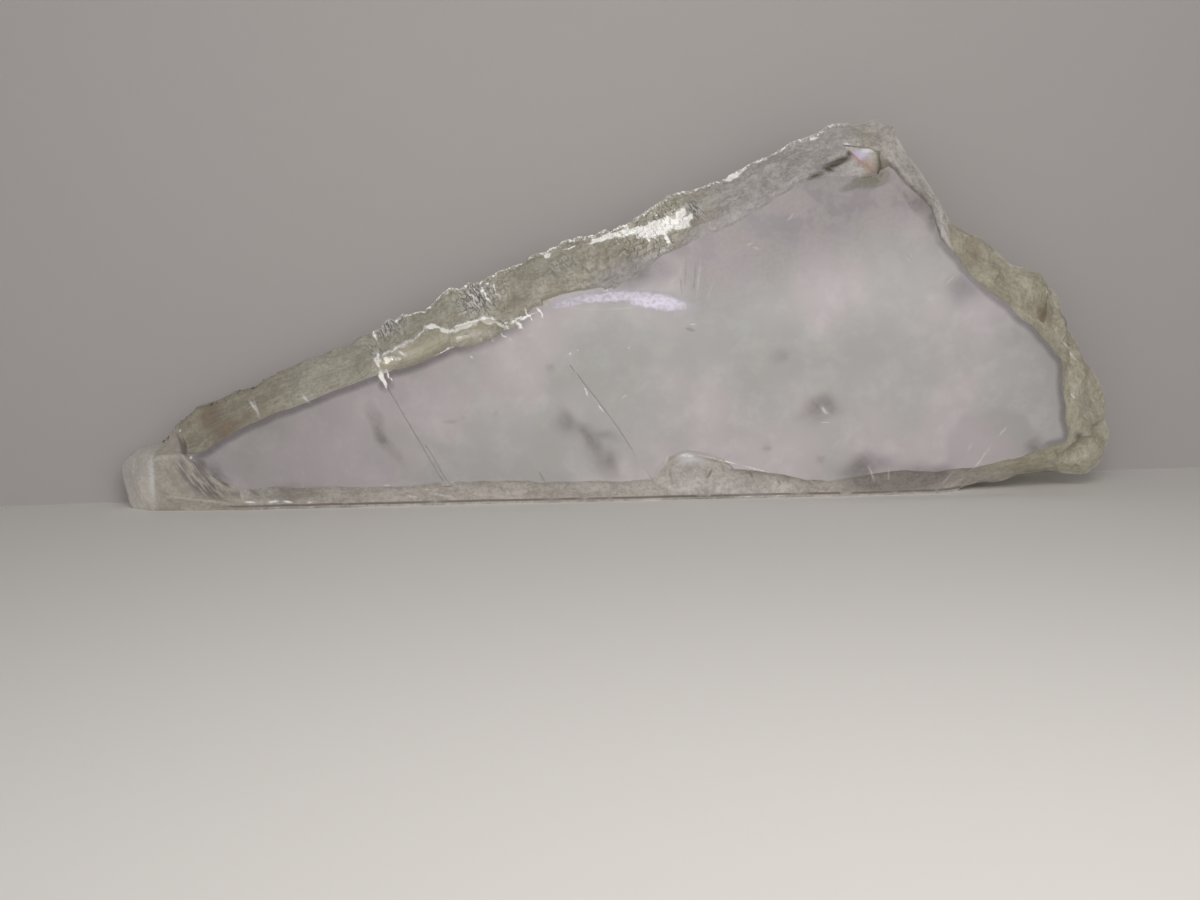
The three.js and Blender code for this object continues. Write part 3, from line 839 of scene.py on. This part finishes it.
def frost(point, colour, roughness, bump):
    """Crystal too finely scratched or splintered to see through."""
    inputs = {"Base Color": colour, "Roughness": roughness, "IOR": CRYSTAL_IOR, "Normal": bump}
    return point.node("ShaderNodeBsdfPrincipled", {}, inputs)


def close_material(point, share, clear, frosted):
    """Covers the clear crystal with its share of frost, and tints the inside faintly."""
    surface = point.node("ShaderNodeMixShader", {}, {0: share, 1: clear, 2: frosted})
    inputs = {"Color": CRYSTAL_TINT, "Density": CRYSTAL_DENSITY}
    tint = point.node("ShaderNodeVolumeAbsorption", {}, inputs)
    point.node("ShaderNodeOutputMaterial", {}, {"Surface": surface, "Volume": tint})


CLEAR_GREY = (1, 1, 0.99, 1)
CLEAR_ROSE = (1, 0.96, 0.98, 1)
CLEAR_DARKENED = (0.42, 0.37, 0.40, 1)
PEARL_GREY = (0.86, 0.86, 0.85, 1)
PEARL_ROSE = (0.905, 0.83, 0.86, 1)
PEARL_DARKENED = (0.28, 0.24, 0.26, 1)
PEARL_BROWN = (0.46, 0.42, 0.38, 1)
FLASH_LILAC = (0.84, 0.79, 0.95, 1)
FACE_DIRT = (0.11, 0.10, 0.06, 1)
SCRATCH_AND_GLARE_WHITE = (0.95, 0.93, 0.88, 1)


def clear_face_material():
    """Front cleavage face: glassy, with thin pearly haze, painted shade, a painted flash, painted
    highlights and fine scratches.
    """
    material, point, (x, y, z) = new_material("clear_face")
    clouds = point.noise((0.05, 0.05, 0.05), 2)
    mottle = point.noise((0.22, 0.22, 0.22), 4, 0.6)
    flecks = point.noise((1.3, 1.3, 1.3), 2, 0.6)
    # The haze, cloudier on the right below the upper edge.
    depth = (x - 13) * 0.297 + 46 - z
    cloudy = depth.rises(18, 2) * x.rises(9, 17)
    haze = 0.34 + clouds.rises(0.35, 0.7) * 0.12 + mottle.rises(0.42, 0.7) * 0.045
    haze = haze + cloudy * (mottle.rises(0.4, 0.65) * 0.05 + flecks.rises(0.35, 0.7) * 0.05)
    # The soft dark marks, many of them painted shade, the gloom under the apex, a darkening towards
    # the left, and the painted shadow of the broken edge just inside the rim.
    shade = point.attribute("shade") * (0.65 + 0.5 * mottle.rises(0.4, 0.62))
    gloomy = 0.34 + mottle.rises(0.42, 0.62) * 0.34 + depth.rises(14, 1) * x.rises(20, 36) * 0.15
    shade = shade.larger(cloudy * gloomy).larger(x.rises(-15, -60) * 0.3)
    # the painted shadow of the broken edge, just inside the rim on the upper left and on the right
    upper_left = x.rises(-80, -76) * x.rises(-8, -22) * (z - 0.42 * (x + 80)).rises(4, 8)
    right = x.rises(56, 60) * z.rises(6, 10)
    inner = point.attribute("inner")
    rim = inner.rises(2.2, 0.5) * upper_left + inner.rises(1.6, 0.5) * right * 0.8
    shade = shade.larger(rim * 0.85) * (0.85 + 0.3 * flecks)
    scratch_and_glare = point.attribute("glare")
    lens = point.attribute("lens") * (0.7 + 0.3 * flecks.rises(0.3, 0.62))
    dirt = point.attribute("dirt") * (0.5 + 0.5 * flecks.rises(0.3, 0.55))
    # The crystal's colour, and over it the veil's.
    tone = clouds.rises(0.42, 0.6)
    dark = shade.larger(point.attribute("nick"))
    colour = tone.blend(CLEAR_GREY, CLEAR_ROSE)
    colour = dark.blend(colour, CLEAR_DARKENED)
    bump = relief(point, point.noise((0.10, 0.10, 0.10), 2), 0.2)
    clear = crystal(point, colour, 0.1, bump)
    pearl = tone.blend(PEARL_GREY, PEARL_ROSE)
    pearl = dark.blend(pearl, PEARL_DARKENED)
    pearl = (cloudy * mottle.rises(0.58, 0.42) * 0.4).blend(pearl, PEARL_BROWN)
    pearl = lens.blend(pearl, FLASH_LILAC)
    pearl = dirt.blend(pearl, FACE_DIRT)
    pearl = scratch_and_glare.blend(pearl, SCRATCH_AND_GLARE_WHITE)
    veil = frost(point, pearl, 0.4, bump)
    share = haze.larger(scratch_and_glare).larger(lens * 0.85).larger(dirt)
    close_material(point, share, clear, veil)
    return material


BACK_ROSE = (0.90, 0.84, 0.86, 1)


def back_face_material():
    """Back cleavage face: glassy too, under a thinner haze."""
    material, point, _ = new_material("back_face")
    clouds = point.noise((0.06, 0.06, 0.06), 3)
    bump = relief(point, point.noise((0.10, 0.10, 0.10), 1), 0.2)
    clear = crystal(point, (1, 0.99, 0.99, 1), 0.1, bump)
    veil = frost(point, clouds.rises(0.4, 0.6).blend(PEARL_GREY, BACK_ROSE), 0.4, bump)
    close_material(point, 0.34 + clouds.rises(0.35, 0.7) * 0.12, clear, veil)
    return material


CLEAR_OLIVE = (0.86, 0.85, 0.77, 1)  # what shows through the frost
CLEAR_SAND = (0.94, 0.93, 0.88, 1)
CLEAR_PALE = (0.97, 0.94, 0.94, 1)
EDGE_TONES = {  # the frost's darker and lighter grain on each stretch of the broken edge
    "upper": ((0.42, 0.39, 0.30, 1), (0.66, 0.63, 0.53, 1)),
    "left": ((0.47, 0.44, 0.36, 1), (0.72, 0.69, 0.58, 1)),
    "far_left": ((0.34, 0.315, 0.235, 1), (0.56, 0.52, 0.40, 1)),
    "right": ((0.37, 0.34, 0.25, 1), (0.58, 0.545, 0.435, 1)),
    "apex": ((0.44, 0.41, 0.39, 1), (0.70, 0.665, 0.64, 1)),
    "base": ((0.54, 0.50, 0.46, 1), (0.84, 0.79, 0.745, 1)),
    "tip": ((0.51, 0.475, 0.40, 1), (0.71, 0.66, 0.575, 1)),
    "tip_end": ((0.72, 0.68, 0.61, 1), (0.92, 0.875, 0.80, 1)),
    "faded": ((0.55, 0.515, 0.515, 1), (0.83, 0.785, 0.785, 1)),
    # the right flank of the apex carries painted shade, darkest along its inner rim
    "shaded_flank": ((0.44, 0.41, 0.38, 1), (0.80, 0.75, 0.71, 1)),
    "shaded_flank_rim": ((0.22, 0.20, 0.19, 1), (0.42, 0.39, 0.37, 1)),
}
STREAK_DARK = (0.22, 0.195, 0.20, 1)
BUNDLE_DARK = (0.14, 0.13, 0.125, 1)
BUNDLE_PALE = (0.88, 0.86, 0.84, 1)
GLOOM_DARK = (0.24, 0.215, 0.205, 1)
CREAM_WARM = (0.80, 0.74, 0.55, 1)
STAIN_BROWN = (0.29, 0.215, 0.15, 1)
CREST_HIGHLIGHT_PALE = (0.74, 0.72, 0.66, 1)
CONTACT_SHADOW_DARK = (0.24, 0.21, 0.18, 1)
EDGE_DIRT = (0.07, 0.06, 0.035, 1)
NICK_DARK = (0.15, 0.13, 0.115, 1)
HIGHLIGHT_WHITE = (0.98, 0.97, 0.93, 1)
HIGHLIGHT_WARM = (0.98, 0.93, 0.78, 1)
LIT_FACETS = (  # painted light on the base chip's crown, then on the shining facet: lilac above, pink and beige below
    ((0.95, 0.93, 1.00, 1), (13.4, 8.4), (4.2, 1.8), -8),
    ((0.30, 0.27, 0.21, 1), (48.6, 60.4), (1.8, 3.4), 10),
    ((0.60, 0.45, 0.38, 1), (46.6, 60.0), (1.7, 2.8), 24),
    ((0.84, 0.48, 0.46, 1), (44.4, 61.8), (2.8, 0.8), -52),
    ((0.80, 0.76, 1.00, 1), (45.4, 62.6), (2.2, 1.2), -14),
    ((0.98, 0.97, 1.00, 1), (46.4, 63.2), (1.6, 0.6), -4),
)


def broken_edge_material():
    """Broken edge: frosted, olive-grey, fibrous along one crystal direction, stained brown, with
    painted highlights and painted shade.
    """
    material, point, (x, y, z) = new_material("broken_edge")
    slope = math.sin(FIBRE_SLOPE), math.cos(FIBRE_SLOPE)
    across = x * slope[0] + z * slope[1]
    along = x * slope[1] - z * slope[0]
    fibre_point = point.node("ShaderNodeCombineXYZ", {}, {0: across, 1: y, 2: along})
    fibres = fibre_point.noise((1.9, 0.8, 0.18), 3, 0.6)
    splinters = fibre_point.noise((3.4, 1.2, 0.4), 2, 0.6)
    leaves = point.noise((0.16, 1.7, 0.16), 3, 0.6)
    grain = point.noise((1.9, 1.9, 1.9), 2, 0.6)
    blotches = point.noise((0.22, 0.22, 0.22), 4, 0.6)
    crumbs = point.noise((0.8, 0.8, 0.8), 3, 0.65)
    spiky = point.attribute("spikes")
    crest = point.attribute("crest")
    inner = point.attribute("inner")
    # Where the stretches of the edge lie.
    chip = point.mark((15.0, 6.0), (11.5, 8.0), 0, 0.3)
    base = z.rises(6.5, 3.5) * x.rises(-76, -70)
    base = base.larger(chip)
    tip = (x + z).rises(-67, -69)
    apex = x.rises(12, 22) * x.rises(50, 42)
    right = x.rises(56, 60) * (z + 0.4 * x).rises(29, 35)
    pale = base.larger(tip) * (1 - right)
    streaky = point.mark((-76.8, 6.6), (7.2, 3.6), -43, 0.5) * fibres.rises(0.36, 0.56)
    calm = pale.larger(x.rises(50, 56)).larger(x.rises(-46, -50))
    faded = inner.rises(4.2, 0.4) * x.rises(8, 16) * x.rises(44, 38) * z.rises(20, 30)
    faded = faded.larger(point.mark((4.0, 42.0), (13.5, 4.6), 20, 0.7) * 0.85)
    faded = faded.larger(inner.rises(1.2, 0.1) * base * 0.6)
    # The crystal under the frost.
    height = 0.4 * fibres * (1 - calm) + 0.15 * leaves + 0.25 * grain + 0.2 * crumbs
    bump = relief(point, height, 0.5)
    tint = blotches.rises(0.38, 0.62).blend(CLEAR_OLIVE, CLEAR_SAND)
    tint = pale.larger(apex).larger(faded).blend(tint, CLEAR_PALE)
    clear = crystal(point, tint, 0.16, bump)
    # The frost's colour, stretch by stretch, and then what lies on it, together with painted shade
    # and painted highlights.
    stain = point.attribute("stain") * (0.45 + 0.55 * crumbs.rises(0.4, 0.58))
    dirt = point.attribute("dirt") * grain.rises(0.15, 0.4)
    glare = point.attribute("glare") * (0.45 + 0.55 * grain.rises(0.32, 0.46))
    cream = point.attribute("cream")
    # painted glints along the crest of the upper edge
    crest_glints = crest.rises(1.2, 0.5) * grain.rises(0.50, 0.56) * x.rises(-48, -40) * x.rises(46, 40)
    # painted contact shadow: a dark line along the foot of the base
    contact_shadow = z.rises(1.1, 0.8) * z.rises(0.4, 0.6) * base * blotches.rises(0.3, 0.5)
    light = (0.35 * blotches + 0.35 * crumbs + 0.3 * grain).rises(0.38, 0.62)
    shaded_flank = x.rises(46, 49) * x.rises(63, 60) * z.rises(30, 40)
    stretches = {
        "left": x.rises(-42, -50),
        "far_left": x.rises(-57, -67),
        "right": right,
        "apex": apex,
        "base": pale,
        "tip": tip,
        "tip_end": tip * x.rises(-85.5, -87.5),
        "faded": faded,
        "shaded_flank": shaded_flank,
        "shaded_flank_rim": shaded_flank * inner.rises(1.6, 0.6),
    }
    chalk = light.blend(*EDGE_TONES["upper"])
    for name, stretch in stretches.items():
        chalk = stretch.blend(chalk, light.blend(*EDGE_TONES[name]))
    chalk = (streaky * 0.9).blend(chalk, STREAK_DARK)
    bundles = splinters.rises(0.42, 0.58).blend(BUNDLE_DARK, BUNDLE_PALE)
    chalk = (spiky * 0.95).blend(chalk, bundles)
    gloom = point.mark((52.5, 3.3), (14.0, 3.4), 2, 0.5) * (0.5 + 0.5 * light)
    chalk = gloom.blend(chalk, GLOOM_DARK)
    chalk = cream.blend(chalk, CREAM_WARM)
    chalk = stain.blend(chalk, STAIN_BROWN)
    # a painted highlight along the outline
    crest_highlight = crest.rises(0.8, 0.1) * x.rises(-48, -42) * (1 - 0.7 * right)
    chalk = crest_highlight.blend(chalk, CREST_HIGHLIGHT_PALE)
    chalk = contact_shadow.blend(chalk, CONTACT_SHADOW_DARK)
    for colour, *oval in LIT_FACETS:
        chalk = point.mark(*oval, 0.8).blend(chalk, colour)
    chalk = dirt.blend(chalk, EDGE_DIRT)
    nick = point.attribute("nick")
    chalk = nick.blend(chalk, NICK_DARK)
    # the blaze: a painted highlight where the splinters lie in step
    blaze_area = point.mark((8.4, 50.4), (7.2, 2.6), 17, 0.8)
    blaze_highlight = (blaze_area + 1.4 * splinters).rises(1.15, 1.3) * blaze_area.rises(0, 0.3)
    # every painted highlight, with the pale scratches, in white or warm cream
    highlights_and_scratches = glare.larger(crest_glints).larger(blaze_highlight)
    chalk = highlights_and_scratches.blend(chalk, cream.blend(HIGHLIGHT_WHITE, HIGHLIGHT_WARM))
    matt = frost(point, chalk, 0.5, bump)
    # How much of it is frost.
    share = 0.58 + leaves.rises(0.35, 0.7) * 0.1 - 0.16 * cream + 0.22 * right
    share = share * (1 - faded) + 0.5 * faded
    share = share.larger(stain * 0.85).larger(dirt).larger(highlights_and_scratches).larger(nick * 0.85)
    share = share.larger(contact_shadow * 0.8).larger(gloom * 0.7)
    close_material(point, share, clear, matt)
    return material


slab = bpy.data.objects.new("selenite", slab_mesh())
bpy.context.scene.collection.objects.link(slab)
slab.data.materials.append(clear_face_material())
slab.data.materials.append(broken_edge_material())
slab.data.materials.append(back_face_material())
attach(slab, "root")
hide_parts("selenite_slab")

# ---------------------------------------------------------------------------------------------
# The stage.  A pale sheet to stand on, a pale wall close behind, and soft studio light from
# the upper right.  None of it is part of the slab.
# ---------------------------------------------------------------------------------------------
FLOOR_REACH = 1.5
WALL_GAP = 1.2 * MM  # between the wall and the tip's back
WALL_TURN = math.radians(3.5)
WALL_LEFT, WALL_RIGHT = 0.4, 0.6  # how far the wall goes on to either side of the tip
WALL_HEIGHT = 0.6
TIP_PLACE = -90 * MM  # along X
FLOOR_PAPER = (0.84, 0.825, 0.79, 1)
WALL_PAPER = (0.42, 0.398, 0.382, 1)


def sheet(name, corners, colour, one_sided):
    """A flat sheet of matt paper, which from behind can be seen through if it is one-sided."""
    mesh = bpy.data.meshes.new(name)
    mesh.from_pydata(corners, [], [(0, 1, 2, 3)])
    material, point, _ = new_material(name)
    surface = point.node("ShaderNodeBsdfDiffuse", {}, {"Color": colour})
    if one_sided:
        behind = point.node("ShaderNodeNewGeometry", output="Backfacing")
        nothing = point.node("ShaderNodeBsdfTransparent")
        surface = point.node("ShaderNodeMixShader", {}, {0: behind, 1: surface, 2: nothing})
    point.node("ShaderNodeOutputMaterial", {}, {"Surface": surface})
    thing = bpy.data.objects.new(name, mesh)
    bpy.context.scene.collection.objects.link(thing)
    thing.data.materials.append(material)


side = FLOOR_REACH
corners = [(-side, -side, 0), (side, -side, 0), (side, side, 0), (-side, side, 0)]
sheet("floor", corners, FLOOR_PAPER, False)
behind_tip = Vector((TIP_PLACE, slab_high.y + WALL_GAP, 0))
wall_run = Vector((math.cos(WALL_TURN), math.sin(WALL_TURN), 0))
left_foot = behind_tip - WALL_LEFT * wall_run
right_foot = behind_tip + WALL_RIGHT * wall_run
rise = Vector((0, 0, WALL_HEIGHT))
corners = [left_foot, right_foot, right_foot + rise, left_foot + rise]
sheet("wall", corners, WALL_PAPER, True)


def soft_light(name, place, target, size, power, colour):
    """A rectangular light that shines from its place towards its target."""
    data = bpy.data.lights.new(name, "AREA")
    data.shape = "RECTANGLE"
    data.size, data.size_y = size
    data.energy = power
    data.color = colour
    lamp = bpy.data.objects.new(name, data)
    bpy.context.scene.collection.objects.link(lamp)
    lamp.location = place
    lamp.rotation_euler = (Vector(target) - lamp.location).to_track_quat("-Z", "Y").to_euler()
    return lamp


KEY_PLACE = (0.026, -0.217, 0.137)
soft_light(
    "key",
    place=KEY_PLACE,
    target=(0, 0, 0.02),
    size=(0.10, 0.10),
    power=0.18,
    colour=(1, 0.97, 0.94),
)
soft_light(
    "veil",
    place=(0.05, -0.80, 0.30),
    target=(0.05, 0, 0.30),
    size=(2.0, 0.6),
    power=5.1,
    colour=(0.98, 0.97, 1),
)
glint = soft_light(
    "glint",
    place=KEY_PLACE,
    target=(0, 0, 0.03),
    size=(0.04, 0.04),
    power=0.3,
    colour=(1, 0.98, 0.95),
)
glint.visible_diffuse = False
ROOM_GREY = (0.06, 0.059, 0.058, 1)
world = bpy.data.worlds.new("world")
bpy.context.scene.world = world
world.use_nodes = True
world.node_tree.nodes["Background"].inputs["Color"].default_value = ROOM_GREY
bpy.context.scene.view_settings.view_transform = "Standard"
bpy.context.scene.cycles.max_bounces = 8
bpy.context.scene.cycles.transmission_bounces = 8
bpy.context.scene.cycles.diffuse_bounces = 3
